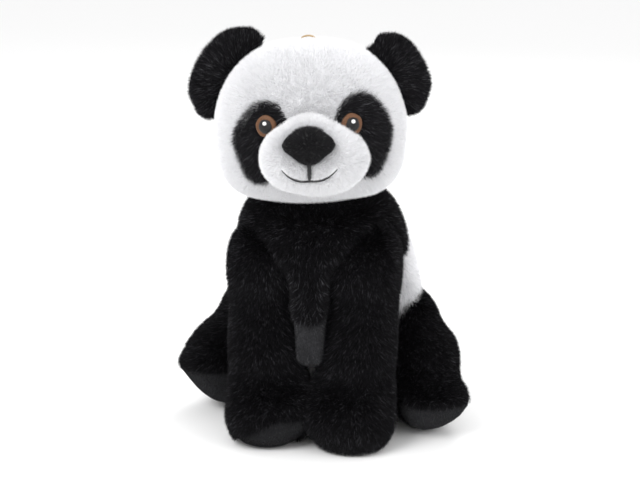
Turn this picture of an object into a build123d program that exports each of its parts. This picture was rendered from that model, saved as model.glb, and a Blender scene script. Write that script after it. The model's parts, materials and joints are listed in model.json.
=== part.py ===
from build123d import *
import os
from math import radians, sin, sqrt

# A plush panda sitting upright, in millimetres.
# +Z is up and the body faces -Y. "Left" is the toy's own left, on the +X side.
# The origin lies on the surface it sits on, under the middle of the whole toy.

# ---- head ----
HEAD_CENTRE = Vector(0, -20, 189.5)
HEAD_HALF_WIDTH = 56.5
HEAD_RADIUS = 50.5
HEAD_TURN = 8
HEAD_LEAN = -1.5
FACE_PILE = 4
GUSSET_HALF_WIDTH = 11
EAR_LINE_Y = -12

MUZZLE_CENTRE = Vector(0, -69, 177)
MUZZLE_HALF_WIDTH = 29.5
MUZZLE_RADIUS = 20
BRIDGE_CENTRE = Vector(0, -67, 186)
BRIDGE_RADIUS = 17
MUZZLE_PILE = 3.5

NOSE_CENTRE = Vector(0, -85.5, 188)
NOSE_HALF_WIDTH = 14.5
NOSE_RADIUS = 10.5

PHILTRUM_WIDTH = 2.6
MOUTH_Z = 171.5
MOUTH_HALF_WIDTH = 15
MOUTH_SAG = 4.5
MOUTH_THREAD = 1.3
THREAD_SUNK = 0.8
THREAD_PROUD = 0.6

EYE_X = 22.5
EYE_Z = 196
IRIS_RADIUS = 6.1
PUPIL_RADIUS = 3.9
HIGHLIGHT_RADIUS = 1.2
HIGHLIGHT_OFFSET = 1.3
PATCH_X = 27.5
PATCH_Z = 186.5
PATCH_HALF_WIDTH = 15.5
PATCH_HALF_HEIGHT = 25
PATCH_LEAN = 14

EAR_ROOT_X = 47.5
EAR_ROOT_Y = -14
EAR_HALF_WIDTH = 28
EAR_HEIGHT = 19
EAR_PILE = 5.5
EAR_GAP = 2.6
EAR_EDGE_ROUND = 3

LOOP_HALF_WIDTH = 4.5
LOOP_RADIUS = 4
LOOP_TAPE = 0.8
LOOP_Y = -14

# ---- neck ----
NECK_PIVOT = Vector(0, -16, 147)
NECK_X = -3
NECK_BALL_RADIUS = 14
NECK_DISC_RADIUS = 16
NECK_DISC_BOTTOM = 129.8
NECK_DISC_TOP = 135.4

# ---- torso ----
BODY_PILE = 5
TORSO_RADIUS = 61
# Half outline of the egg: distance from its axis, height.
EGG_SEAT = (34, -16)
EGG_SEAT_FLARE = (55, 8)
EGG_WIDEST_Z = 45
EGG_FLANK = (59, 90)
EGG_SHOULDER = (50, 126)
EGG_SHOULDER_FALL = (41, 144)
EGG_NECK = (22, 152)
TORSO_TILT = 14
TORSO_AXIS_Y = 24
SHOULDER_DISH_RADIUS = 89
SHOULDER_DISH_BOTTOM = 135.4
YOKE_FRONT_Y = -40
YOKE_FRONT_Z = 77
YOKE_SLOPE = 34
BELLY_BACK_Y = -8
SEAT_THICKNESS = 4

TAIL_CENTRE = Vector(0, 72, 24)
TAIL_HALF_LENGTH = 13
TAIL_RADIUS = 11

POUCH_CENTRE = Vector(0, 44, 26)
POUCH_RADIUS = 16
POUCH_HEIGHT = 34
POUCH_WALL = 1

# ---- front legs ----
SHOULDER = Vector(29.5, -26, 104)
SHOULDER_HALF_WIDTH = 20
SHOULDER_RADIUS = 25
SHOULDER_CORNER = 14
LEG_RADIUS = 19.5
PAW_CENTRE = Vector(25.5, -45, 17)
PAW_HALF_LENGTH = 26
PAW_RADIUS = 24
MIDDLE_GAP = 1.2
BACK_SWING = 5
PAW_SOLE = 3

# ---- hind legs ----
HIP = Vector(42, 26, 37)
HIP_RADIUS = 26
HIP_HALF_HEIGHT = 45
THIGH_RADIUS = 24
FOOT_RADIUS = 21
FOOT_HALF_LENGTH = 16
FOOT_CORNER = 12
FOOT_CENTRE_LEFT = Vector(71, -21, 20)
FOOT_CENTRE_RIGHT = Vector(-70, 5, 22)

THIGH_MIDDLE = 0.55
THIGH_HALF_LENGTH = 27
FOOT_SOLE_INSET = 7

LABEL_CENTRE = Vector(-40, 66, 12)
LABEL_SIZE = (12, 22, 0.6)

PAW_INNER_REACH = 61
CLEARANCE = 0.5
HIP_CLEARANCE = 1
SCRAP_SHARE = 0.1
FAR = 400


# ---- building blocks ----
def roll(half_length, radius, corner):
    """Round roll standing along Z, its ends rounded; a full corner makes it a capsule."""
    edges = [
        CenterArc((radius - corner, corner - half_length), corner, -90, 90),
        CenterArc((radius - corner, half_length - corner), corner, 0, 90),
        Line((0, half_length), (0, -half_length)),
    ]
    if half_length > corner:
        edges.append(Line((radius, corner - half_length), (radius, half_length - corner)))
    if radius > corner:
        edges.append(Line((0, -half_length), (radius - corner, -half_length)))
        edges.append(Line((0, half_length), (radius - corner, half_length)))
    outline = Curve() + edges
    return revolve(Plane.XZ * make_face(outline), Axis.Z)


def block(x=(-FAR, FAR), y=(-FAR, FAR), z=(-FAR, FAR)):
    """Box between two limits on each axis, endless where none is given."""
    size = [high - low for low, high in (x, y, z)]
    middle = [(high + low) / 2 for low, high in (x, y, z)]
    return Pos(*middle) * Box(*size)


def rod(start, end, radius):
    """Round rod between two points."""
    run = end - start
    return Plane((start + end) / 2, z_dir=run) * Cylinder(radius, run.length)


def side_word(side):
    """The toy's own left is at +X."""
    return "left" if side > 0 else "right"


def on_side(shape, side):
    """A shape drawn for the left side, or its mirror image on the right."""
    return shape if side > 0 else mirror(shape, about=Plane.YZ)


# ---- head ----
def crosswise(centre, half_width, radius, corner):
    """A roll lying from side to side."""
    return Pos(*centre) * Rot(0, 90, 0) * roll(half_width, radius, corner)


def head_form(inset=0):
    radius = HEAD_RADIUS - inset
    return crosswise(HEAD_CENTRE, HEAD_HALF_WIDTH - inset, radius, radius)


def lips_form(inset=0):
    radius = MUZZLE_RADIUS - inset
    return crosswise(MUZZLE_CENTRE, MUZZLE_HALF_WIDTH - inset, radius, radius)


def muzzle_form(inset=0):
    """Wide rounded lips, and the narrower bridge between the eyes above them."""
    return lips_form(inset) + Pos(*BRIDGE_CENTRE) * Sphere(BRIDGE_RADIUS - inset)


def nose_form():
    return crosswise(NOSE_CENTRE, NOSE_HALF_WIDTH, NOSE_RADIUS, NOSE_RADIUS)


def face_plane(x, z):
    """Plane that touches the face at a place across and up, looking outwards."""
    side = 1 if x > 0 else -1
    ball = Vector(side * (HEAD_HALF_WIDTH - HEAD_RADIUS), HEAD_CENTRE.Y, HEAD_CENTRE.Z)
    across = x - ball.X
    up = z - ball.Z
    outwards = Vector(across, -sqrt(HEAD_RADIUS**2 - across**2 - up**2), up)
    return Plane(ball + outwards, x_dir=(1, 0, 0), z_dir=outwards)


def neck_stuffing():
    ball = Pos(NECK_X, NECK_PIVOT.Y, NECK_PIVOT.Z) * Sphere(NECK_BALL_RADIUS)
    height = NECK_DISC_TOP - NECK_DISC_BOTTOM
    middle = (NECK_DISC_TOP + NECK_DISC_BOTTOM) / 2
    disc = Pos(NECK_X, NECK_PIVOT.Y, middle) * Cylinder(NECK_DISC_RADIUS, height)
    return ball + disc


def neck_socket():
    """Room for the ball inside the head."""
    return Pos(*NECK_PIVOT) * Sphere(NECK_BALL_RADIUS + CLEARANCE)


def thread_layer():
    """Thin layer at the muzzle's surface that the mouth threads lie in."""
    layer = lips_form(-THREAD_PROUD) - lips_form(THREAD_SUNK)
    return layer & block(y=(-FAR, MUZZLE_CENTRE.Y))


def philtrum_stitch():
    bar = block(x=(-PHILTRUM_WIDTH / 2, PHILTRUM_WIDTH / 2), y=(-FAR, MUZZLE_CENTRE.Y),
                z=(MOUTH_Z, NOSE_CENTRE.Z))
    return thread_layer() & bar - nose_form()


def mouth_stitch():
    """One smiling thread from corner to corner, under the bar."""
    smile = ThreePointArc((-MOUTH_HALF_WIDTH, MOUTH_SAG), (0, 0), (MOUTH_HALF_WIDTH, MOUTH_SAG))
    strip = Plane.XZ * Pos(0, MOUTH_Z - MOUTH_THREAD) * trace(smile, MOUTH_THREAD)
    reach = -MUZZLE_CENTRE.Y + MUZZLE_RADIUS + FACE_PILE
    return thread_layer() & extrude(strip, reach)


def patch_prism(side):
    """Bean-shaped outline of an eye patch, drawn through the face."""
    lean = Rot(0, 0, side * PATCH_LEAN)
    bean = face_plane(side * PATCH_X, PATCH_Z) * lean * Ellipse(PATCH_HALF_WIDTH, PATCH_HALF_HEIGHT)
    return extrude(bean, 2 * FACE_PILE + HEAD_RADIUS / 4, both=True)


def thread_disc(side, radius, offset=0):
    """Round patch of embroidery at an eye's place."""
    plane = face_plane(side * EYE_X, EYE_Z)
    height = THREAD_SUNK + THREAD_PROUD
    return plane * Pos(0, offset, (THREAD_PROUD - THREAD_SUNK) / 2) * Cylinder(radius, height)


def eye_pieces(side):
    muzzle = muzzle_form()
    iris_disc = thread_disc(side, IRIS_RADIUS) - muzzle
    pupil_disc = thread_disc(side, PUPIL_RADIUS) - muzzle
    highlight = thread_disc(side, HIGHLIGHT_RADIUS, HIGHLIGHT_OFFSET) - muzzle
    word = side_word(side)
    return {
        f"iris_{word}": iris_disc - pupil_disc,
        f"pupil_{word}": pupil_disc - highlight,
        f"eye_highlight_{word}": highlight,
    }


def hang_loop():
    """Loop of tape sewn into the crown."""
    top = HEAD_CENTRE.Z + HEAD_RADIUS - FACE_PILE
    ring = Cylinder(LOOP_RADIUS, 2 * LOOP_HALF_WIDTH) - Cylinder(LOOP_RADIUS - LOOP_TAPE, 2 * LOOP_HALF_WIDTH)
    return Pos(0, LOOP_Y, top + FACE_PILE / 2) * Rot(0, 90, 0) * ring - head_form(FACE_PILE)


def head_pieces():
    """Everything sewn to the head except the ears."""
    muzzle = muzzle_form()
    nose = nose_form() - muzzle_form(MUZZLE_PILE)
    philtrum = philtrum_stitch()
    mouth = mouth_stitch() - philtrum
    loop = hang_loop()
    skin = head_form() - head_form(FACE_PILE) - muzzle - neck_socket() - loop
    patches = {side: skin & patch_prism(side) for side in (1, -1)}
    plain = skin - patch_prism(1) - patch_prism(-1)
    front = (-FAR, EAR_LINE_Y)
    back = (EAR_LINE_Y, FAR)
    upper = (MUZZLE_CENTRE.Z, FAR)
    gusset = block(x=(-GUSSET_HALF_WIDTH, GUSSET_HALF_WIDTH), y=front, z=upper)
    pieces = {
        "nose": nose,
        "philtrum_stitch": philtrum,
        "mouth_stitch": mouth,
        "hang_loop": loop,
        "forehead_gusset": plain & gusset,
        "muzzle_cover": muzzle - muzzle_form(MUZZLE_PILE) - head_form(FACE_PILE) - nose - philtrum - mouth,
        "muzzle_stuffing": muzzle_form(MUZZLE_PILE) - head_form(FACE_PILE),
        "head_stuffing": head_form(FACE_PILE) - neck_socket(),
    }
    for side in (1, -1):
        word = side_word(side)
        half = block(x=(0, FAR)) if side > 0 else block(x=(-FAR, 0))
        pieces[f"face_panel_{word}"] = plain & half & block(y=front) - gusset
        pieces[f"back_head_panel_{word}"] = plain & half & block(y=back)
        eye = eye_pieces(side)
        patch = patches[side]
        for thread in eye.values():
            patch = patch - thread
        pieces[f"eye_patch_{word}"] = patch
        pieces.update(eye)
    return pieces


# ---- ears ----
def ear_plane():
    """Plane of the left ear: x runs down its root line, y points out of the head, z forwards."""
    ball = Vector(HEAD_HALF_WIDTH - HEAD_RADIUS, EAR_ROOT_Y, HEAD_CENTRE.Z)
    ring = sqrt(HEAD_RADIUS**2 - (EAR_ROOT_Y - HEAD_CENTRE.Y) ** 2)
    across = EAR_ROOT_X - ball.X
    outwards = Vector(across, 0, sqrt(ring**2 - across**2)).normalized()
    down_root = Vector(outwards.Z, 0, -outwards.X)
    return Plane(ball + outwards * (ring + EAR_GAP), x_dir=down_root, z_dir=(0, -1, 0))


def ear_pieces(side):
    arc = EllipticalCenterArc((0, 0), EAR_HALF_WIDTH, EAR_HEIGHT, start_angle=0, arc_size=180)
    outline = make_face(arc + Line(arc @ 1, arc @ 0))
    panel = extrude(outline, EAR_PILE)
    rim = panel.faces().sort_by(Axis.Z)[-1].edges()
    panel = fillet(rim, EAR_EDGE_ROUND)
    word = side_word(side)
    place = ear_plane()
    return {
        f"ear_{word}_front": on_side(place * panel, side),
        f"ear_{word}_back": on_side(place * mirror(panel, about=Plane.XY), side),
    }


def placed_on_neck(shape):
    """The head is sewn on turned to its left, leaning and a little off the middle."""
    neck = Pos(NECK_X, NECK_PIVOT.Y, NECK_PIVOT.Z)
    return neck * Rot(0, HEAD_LEAN, HEAD_TURN) * Pos(-NECK_PIVOT) * shape


# ---- torso ----
def torso_form(inset=0):
    """Egg with a broad seat, leaning forwards, its top dished under the head."""
    side = 1 - inset / TORSO_RADIUS
    bottom = EGG_SEAT[1] + inset
    top = EGG_NECK[1] - inset
    seat_edge = (EGG_SEAT[0] * side, bottom)
    flare = (EGG_SEAT_FLARE[0] * side, EGG_SEAT_FLARE[1] + inset / 2)
    widest = (TORSO_RADIUS * side, EGG_WIDEST_Z)
    flank = (EGG_FLANK[0] * side, EGG_FLANK[1])
    shoulder = (EGG_SHOULDER[0] * side, EGG_SHOULDER[1] - inset / 2)
    fall = (EGG_SHOULDER_FALL[0] * side, EGG_SHOULDER_FALL[1] - inset)
    neck = (EGG_NECK[0] * side, top)
    outline = Curve() + [
        Line((0, bottom), seat_edge),
        ThreePointArc(seat_edge, flare, widest),
        ThreePointArc(widest, flank, shoulder),
        ThreePointArc(shoulder, fall, neck),
        Line(neck, (0, top)),
        Line((0, top), (0, bottom)),
    ]
    egg = revolve(Plane.XZ * make_face(outline), Axis.Z)
    leaning = Pos(0, TORSO_AXIS_Y) * Rot(TORSO_TILT, 0, 0) * egg
    dish_height = SHOULDER_DISH_BOTTOM - inset + SHOULDER_DISH_RADIUS
    dish = Pos(0, NECK_PIVOT.Y, dish_height) * Sphere(SHOULDER_DISH_RADIUS)
    return (leaning & block(z=(inset, FAR))) - dish


def above_yoke_hem():
    """Everything above the slanting seam between the black yoke and the rest."""
    seam = Plane((0, YOKE_FRONT_Y, YOKE_FRONT_Z)) * Rot(YOKE_SLOPE, 0, 0)
    return seam * Pos(0, 0, FAR / 2) * Box(2 * FAR, 2 * FAR, FAR)


def shoulder_form(grow=0):
    return crosswise(SHOULDER, SHOULDER_HALF_WIDTH + grow, SHOULDER_RADIUS + grow, SHOULDER_CORNER + grow)


def front_leg_room(outer_x):
    """Space that the front legs swing in, on both sides of the chest."""
    back_drop = (SHOULDER.Y - PAW_CENTRE.Y) / SHOULDER.Z
    back_top = SHOULDER.Y + LEG_RADIUS + 2 * CLEARANCE
    back_low = back_top - SHOULDER.Z * (back_drop - radians(BACK_SWING) * 2)
    outline = Polyline(
        (back_top, SHOULDER.Z),
        (back_low, 0),
        (-FAR / 2, 0),
        (-FAR / 2, SHOULDER.Z),
        close=True,
    )
    slab = extrude(Plane.YZ * make_face(outline), outer_x)
    column = slab & block(x=(SHOULDER.X - SHOULDER_HALF_WIDTH - CLEARANCE, FAR))
    reach_of_paw = Pos(0, SHOULDER.Y, SHOULDER.Z) * Rot(0, 90, 0) * Cylinder(PAW_INNER_REACH, 2 * FAR)
    under_belly = slab & block(x=(0, FAR), z=(0, SHOULDER.Z / 2)) - reach_of_paw
    leg_end = Pos(*SHOULDER) * Rot(0, 90, 0) * Cylinder(LEG_RADIUS + 2 * CLEARANCE, 2 * SHOULDER_HALF_WIDTH + 1)
    room = shoulder_form(CLEARANCE) + leg_end + column + under_belly
    return room + mirror(room, about=Plane.YZ)


def hind_leg_form(foot_centre, inset=0):
    """A hind leg lying on the floor: ball at the hip, thigh and foot."""
    hip = HIP if foot_centre.X > 0 else Vector(-HIP.X, HIP.Y, HIP.Z)
    run = foot_centre - hip
    hip_radius = HIP_RADIUS - inset
    thigh_radius = THIGH_RADIUS - inset
    ball = Pos(*hip) * roll(HIP_HALF_HEIGHT - inset, hip_radius, hip_radius)
    heading = Plane(hip + run * THIGH_MIDDLE, z_dir=run)
    thigh = heading * roll(THIGH_HALF_LENGTH - inset, thigh_radius, thigh_radius)
    foot_heading = Plane(foot_centre, z_dir=run)
    foot = foot_heading * roll(FOOT_HALF_LENGTH - inset, FOOT_RADIUS - inset, FOOT_CORNER - inset)
    return (ball + thigh + foot) & block(z=(inset, FAR))


def torso_pieces(rooms):
    skin = torso_form() - torso_form(BODY_PILE) - rooms
    core = torso_form(BODY_PILE) - rooms
    yoke = above_yoke_hem()
    low = skin - yoke
    belly = block(x=(-SHOULDER.X, SHOULDER.X), y=(-FAR, BELLY_BACK_Y))
    seat = block(z=(0, SEAT_THICKNESS))
    place = Pos(*POUCH_CENTRE)
    pouch_outer = place * Cylinder(POUCH_RADIUS, POUCH_HEIGHT)
    pouch_inner = place * Cylinder(POUCH_RADIUS - POUCH_WALL, POUCH_HEIGHT - 2 * POUCH_WALL)
    rest = low - belly - seat
    tail = Pos(*TAIL_CENTRE) * Rot(90, 0, 0) * roll(TAIL_HALF_LENGTH, TAIL_RADIUS, TAIL_RADIUS)
    label = Pos(*LABEL_CENTRE) * Box(*LABEL_SIZE) - torso_form()
    pieces = {
        "chest_yoke": skin & yoke,
        "belly_panel": (low & belly) - seat,
        "seat_panel": low & seat,
        "rump_cover_left": rest & block(x=(0, FAR)),
        "rump_cover_right": rest & block(x=(-FAR, 0)),
        "tail": (tail - torso_form()) & block(z=(CLEARANCE, FAR)),
        "torso_stuffing": core - pouch_outer,
        "pellet_pouch": pouch_outer - pouch_inner,
        "seat_pellets": pouch_inner,
        "sewn_in_label": label,
    }
    return pieces


# ---- legs ----
def front_leg_form(inset=0):
    ankle = Vector(SHOULDER.X, PAW_CENTRE.Y, PAW_CENTRE.Z)
    column = rod(SHOULDER, ankle, LEG_RADIUS - inset)
    paw = Pos(*PAW_CENTRE) * Rot(90, 0, 0) * roll(PAW_HALF_LENGTH - inset, PAW_RADIUS - inset, PAW_RADIUS - inset)
    bounds = block(x=(MIDDLE_GAP + inset, SHOULDER.X + SHOULDER_HALF_WIDTH - inset), z=(inset, FAR))
    return (shoulder_form(-inset) + column + paw) & bounds


def front_leg_pieces(side):
    form = front_leg_form()
    core = front_leg_form(BODY_PILE)
    skin = form - core
    pad = block(z=(0, PAW_SOLE))
    word = side_word(side)
    return {
        f"front_leg_{word}_cover": on_side(skin - pad, side),
        f"front_leg_{word}_stuffing": on_side(core, side),
        f"front_paw_{word}_pad": on_side(skin & pad, side),
    }


def hind_leg_pieces(side, room):
    foot_centre = FOOT_CENTRE_LEFT if side > 0 else FOOT_CENTRE_RIGHT
    hip = Vector(side * HIP.X, HIP.Y, HIP.Z)
    run = (foot_centre - hip).normalized()
    form = hind_leg_form(foot_centre) - room
    core = hind_leg_form(foot_centre, BODY_PILE) - room
    skin = form - core
    sole_start = foot_centre + run * (FOOT_HALF_LENGTH - FOOT_SOLE_INSET)
    pad = Plane(sole_start, z_dir=run) * Pos(0, 0, FAR / 2) * Box(FAR, FAR, FAR)
    word = side_word(side)
    return {
        f"hind_leg_{word}_cover": skin - pad,
        f"hind_leg_{word}_stuffing": core - pad,
        f"hind_foot_{word}_sole": form & pad,
    }


def make_parts():
    """Every piece by name, in the shared frame."""
    head = head_pieces()
    for side in (1, -1):
        head.update(ear_pieces(side))
    parts = {name: placed_on_neck(shape) for name, shape in head.items()}
    parts["neck_stuffing"] = neck_stuffing()
    legs_room = front_leg_room(TORSO_RADIUS + BODY_PILE)
    beside_front_legs = front_leg_room(SHOULDER.X + SHOULDER_HALF_WIDTH + CLEARANCE)
    hips = hind_leg_form(FOOT_CENTRE_LEFT, -HIP_CLEARANCE) + hind_leg_form(FOOT_CENTRE_RIGHT, -HIP_CLEARANCE)
    neck_hole = Pos(NECK_X, NECK_PIVOT.Y, NECK_DISC_BOTTOM - CLEARANCE + FAR / 2)
    neck_room = neck_hole * Cylinder(NECK_DISC_RADIUS + CLEARANCE, FAR)
    parts.update(torso_pieces(legs_room + hips + neck_room))
    for side in (1, -1):
        parts.update(front_leg_pieces(side))
        parts.update(hind_leg_pieces(side, beside_front_legs))
    return parts


os.makedirs("parts", exist_ok=True)
for name, shape in make_parts().items():
    largest = max(solid.volume for solid in shape.solids())
    solids = [solid for solid in shape.solids() if solid.volume > largest * SCRAP_SHARE]
    export_step(Compound(children=solids), f"parts/{name}.step")
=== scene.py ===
import json
import math

import bmesh
import bpy
import numpy as np
from bpy.props import FloatProperty, FloatVectorProperty, PointerProperty
from mathutils import Matrix, Vector
from mathutils.bvhtree import BVHTree


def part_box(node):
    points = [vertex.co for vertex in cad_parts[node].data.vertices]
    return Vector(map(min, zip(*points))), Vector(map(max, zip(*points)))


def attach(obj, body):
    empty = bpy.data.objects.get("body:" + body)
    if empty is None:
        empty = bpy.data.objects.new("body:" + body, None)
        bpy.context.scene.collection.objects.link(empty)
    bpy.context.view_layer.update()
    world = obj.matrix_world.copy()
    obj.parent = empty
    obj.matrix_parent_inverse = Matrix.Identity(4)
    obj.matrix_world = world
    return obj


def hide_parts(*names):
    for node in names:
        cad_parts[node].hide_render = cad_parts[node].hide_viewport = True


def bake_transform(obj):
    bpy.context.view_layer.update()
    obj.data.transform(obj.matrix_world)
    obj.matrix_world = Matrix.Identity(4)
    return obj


bl_info = {
    "name": "Plush Panda",
    "version": (1, 0, 0),
    "blender": (4, 5, 0),
    "location": "View3D > Sidebar > Plush Panda",
    "description": "Sews the covers, pile and threads of a sitting plush panda around its frame",
    "category": "Object",
}

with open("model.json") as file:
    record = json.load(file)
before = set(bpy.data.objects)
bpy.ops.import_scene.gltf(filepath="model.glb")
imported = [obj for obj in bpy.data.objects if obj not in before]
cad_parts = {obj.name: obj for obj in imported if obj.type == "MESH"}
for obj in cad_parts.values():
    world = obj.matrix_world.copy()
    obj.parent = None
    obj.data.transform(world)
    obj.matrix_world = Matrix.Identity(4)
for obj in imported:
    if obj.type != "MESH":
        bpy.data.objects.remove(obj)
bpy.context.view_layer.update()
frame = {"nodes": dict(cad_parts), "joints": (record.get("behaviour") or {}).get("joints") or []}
MM = 0.001
SEED = 11
SIDES = {"left": 1, "right": -1}


# ---- places read from the frame ----
def middle(node):
    low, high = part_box(node)
    return (Vector(low) + Vector(high)) / 2


def joint_named(name):
    return next(joint for joint in frame["joints"] if joint["name"] == name)


def joint_place(name):
    return Vector(joint_named(name)["pos_m"])


def joint_axis(name):
    return Vector(joint_named(name)["axis"]).normalized()


# ---- settings a maker would change ----
class PileSettings(bpy.types.PropertyGroup):
    head_pile: FloatProperty(name="Head pile", description="Length of the white pile",
                             default=3.4 * MM, min=0.0, unit="LENGTH")
    body_pile: FloatProperty(name="Body pile", description="Length of the black pile",
                             default=5.8 * MM, min=0.0, unit="LENGTH")
    long_pile: FloatProperty(name="Long pile", description="Length of the ear and eye patch pile",
                             default=7.5 * MM, min=0.0, unit="LENGTH")
    sole_pile: FloatProperty(name="Sole pile", description="Length of the smooth charcoal pile",
                             default=1.6 * MM, min=0.0, unit="LENGTH")


class ColourSettings(bpy.types.PropertyGroup):
    white: FloatVectorProperty(name="White pile", description="Colour of the head and rump",
                               default=(0.93, 0.93, 0.945), subtype="COLOR", min=0, max=1)
    black: FloatVectorProperty(name="Black pile", description="Colour of the legs and yoke",
                               default=(0.008, 0.0075, 0.009), subtype="COLOR", min=0, max=1)
    # Charcoal is the soles' own colour; on the belly between the front legs it is painted shade.
    charcoal: FloatVectorProperty(name="Charcoal pile", description="Colour of the soles and belly",
                                  default=(0.026, 0.026, 0.029), subtype="COLOR", min=0, max=1)
    iris: FloatVectorProperty(name="Iris thread", description="Colour of the ring in each eye",
                              default=(0.16, 0.068, 0.028), subtype="COLOR", min=0, max=1)
    tape: FloatVectorProperty(name="Loop tape", description="Colour of the loop at the crown",
                              default=(0.62, 0.43, 0.22), subtype="COLOR", min=0, max=1)


# ---- materials ----
def shader_of(material):
    return next(node for node in material.node_tree.nodes if node.type == "BSDF_PRINCIPLED")


def plain_cloth(name, colour, roughness=0.85, sheen=0.25, specular=0.25):
    """One even fibre colour, for loose strands that are too thin to carry a pattern."""
    material = bpy.data.materials.new(name)
    material.use_nodes = True
    shader = shader_of(material)
    shader.inputs["Base Color"].default_value = (*colour, 1)
    shader.inputs["Roughness"].default_value = roughness
    shader.inputs["Specular IOR Level"].default_value = specular
    shader.inputs["Sheen Weight"].default_value = sheen
    shader.inputs["Sheen Roughness"].default_value = 0.4
    return material


def backing_cloth(name, dark, light, scale=900.0, bump=0.35, roughness=0.92):
    """Knitted backing under the pile: fine mottling in colour, roughness and height."""
    material = plain_cloth(name, dark, roughness)
    nodes, links = material.node_tree.nodes, material.node_tree.links
    shader = shader_of(material)
    coords = nodes.new("ShaderNodeTexCoord")
    fine = nodes.new("ShaderNodeTexNoise")
    fine.inputs["Scale"].default_value = scale
    fine.inputs["Detail"].default_value = 4
    broad = nodes.new("ShaderNodeTexNoise")
    broad.inputs["Scale"].default_value = scale / 14
    mix = nodes.new("ShaderNodeMath")
    mix.operation = "MULTIPLY"
    ramp = nodes.new("ShaderNodeValToRGB")
    ramp.color_ramp.elements[0].position = 0.15
    ramp.color_ramp.elements[0].color = (*dark, 1)
    ramp.color_ramp.elements[1].position = 0.45
    ramp.color_ramp.elements[1].color = (*light, 1)
    rough = nodes.new("ShaderNodeMapRange")
    rough.inputs["To Min"].default_value = roughness - 0.15
    rough.inputs["To Max"].default_value = min(1.0, roughness + 0.06)
    height = nodes.new("ShaderNodeBump")
    height.inputs["Strength"].default_value = bump
    height.inputs["Distance"].default_value = 0.6 * MM
    links.new(coords.outputs["Object"], fine.inputs["Vector"])
    links.new(coords.outputs["Object"], broad.inputs["Vector"])
    links.new(fine.outputs["Fac"], mix.inputs[0])
    links.new(broad.outputs["Fac"], mix.inputs[1])
    links.new(mix.outputs[0], ramp.inputs["Fac"])
    links.new(ramp.outputs["Color"], shader.inputs["Base Color"])
    links.new(fine.outputs["Fac"], rough.inputs["Value"])
    links.new(rough.outputs["Result"], shader.inputs["Roughness"])
    links.new(fine.outputs["Fac"], height.inputs["Height"])
    links.new(height.outputs["Normal"], shader.inputs["Normal"])
    return material


# ---- forms ----
def finish_mesh(name, bm, materials, smooth=True):
    bmesh.ops.recalc_face_normals(bm, faces=bm.faces)
    mesh = bpy.data.meshes.new(name)
    bm.to_mesh(mesh)
    bm.free()
    for material in materials:
        mesh.materials.append(material)
    if smooth:
        mesh.polygons.foreach_set("use_smooth", [True] * len(mesh.polygons))
    piece = bpy.data.objects.new(name, mesh)
    bpy.context.scene.collection.objects.link(piece)
    return piece


def add_lump(bm, centre, radii, turn=None, detail=4):
    """An ellipsoid of stuffing, radii in millimetres."""
    made = bmesh.ops.create_icosphere(bm, subdivisions=detail, radius=1.0)
    size = Matrix.Diagonal((*[radius * MM for radius in radii], 1))
    place = Matrix.Translation(centre) @ (turn or Matrix.Identity(4)) @ size
    bmesh.ops.transform(bm, matrix=place, verts=made["verts"])


def apply_modifiers(piece):
    with bpy.context.temp_override(object=piece, active_object=piece, selected_objects=[piece]):
        for modifier in list(piece.modifiers):
            bpy.ops.object.modifier_apply(modifier=modifier.name)


def melt(piece, voxel, rounds):
    """Turns the lumps into one skin and relaxes the creases between them."""
    remesh = piece.modifiers.new("skin", "REMESH")
    remesh.mode = "VOXEL"
    remesh.voxel_size = voxel * MM
    remesh.use_smooth_shade = True
    apply_modifiers(piece)
    relax(piece, rounds)


def points_of(mesh):
    """Places and normals of all points of a mesh."""
    places = np.empty(len(mesh.vertices) * 3)
    normals = np.empty(len(mesh.vertices) * 3)
    mesh.vertices.foreach_get("co", places)
    mesh.vertices.foreach_get("normal", normals)
    return places.reshape(-1, 3), normals.reshape(-1, 3)


def move_points(mesh, places):
    mesh.vertices.foreach_set("co", places.ravel())
    mesh.update()


def face_kinds(skin, kind_of):
    """Gives each face of a skin the cloth that `kind_of` picks from the faces' middles."""
    centres = np.empty(len(skin.data.polygons) * 3)
    skin.data.polygons.foreach_get("center", centres)
    skin.data.polygons.foreach_set("material_index", kind_of(centres.reshape(-1, 3)).astype(np.int32))


def stuff(piece, pressure=4.0, reach=2.5, frames=12):
    """Fills the cover from inside: cloth under pressure, each point held near its start."""
    before, _ = points_of(piece.data)
    cloth = piece.modifiers.new("stuffing", "CLOTH")
    cloth.settings.use_pressure = True
    cloth.settings.uniform_pressure_force = pressure
    cloth.settings.effector_weights.gravity = 0
    cloth.settings.quality = 4
    cloth.settings.tension_stiffness = 25
    cloth.settings.compression_stiffness = 25
    cloth.settings.bending_stiffness = 2
    cloth.point_cache.frame_start = 1
    cloth.point_cache.frame_end = frames
    scene = bpy.context.scene
    for number in range(1, frames + 1):
        scene.frame_set(number)
    after, _ = points_of(piece.evaluated_get(bpy.context.evaluated_depsgraph_get()).data)
    piece.modifiers.remove(cloth)
    move = after - before
    length = np.linalg.norm(move, axis=1, keepdims=True)
    cap = reach * MM
    move *= cap * np.tanh(length / cap) / np.maximum(length, 1e-9)
    move_points(piece.data, before + move)
    scene.frame_set(1)


def flatten_on_floor(piece, height=0.6):
    """What rests on the floor lies flat on it."""
    places, _ = points_of(piece.data)
    places[:, 2] = np.maximum(places[:, 2], height * MM)
    move_points(piece.data, places)


# ---- pile ----
def surface_of(piece):
    """Triangles, corner normals and areas of a skin, as arrays."""
    mesh = piece.data
    mesh.calc_loop_triangles()
    count = len(mesh.loop_triangles)
    corners = np.empty(count * 3, dtype=np.int32)
    mesh.loop_triangles.foreach_get("vertices", corners)
    places, normals = points_of(mesh)
    corners = corners.reshape(-1, 3)
    a, b, c = places[corners[:, 0]], places[corners[:, 1]], places[corners[:, 2]]
    area = np.linalg.norm(np.cross(b - a, c - a), axis=1) / 2
    return places, normals, corners, area


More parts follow.
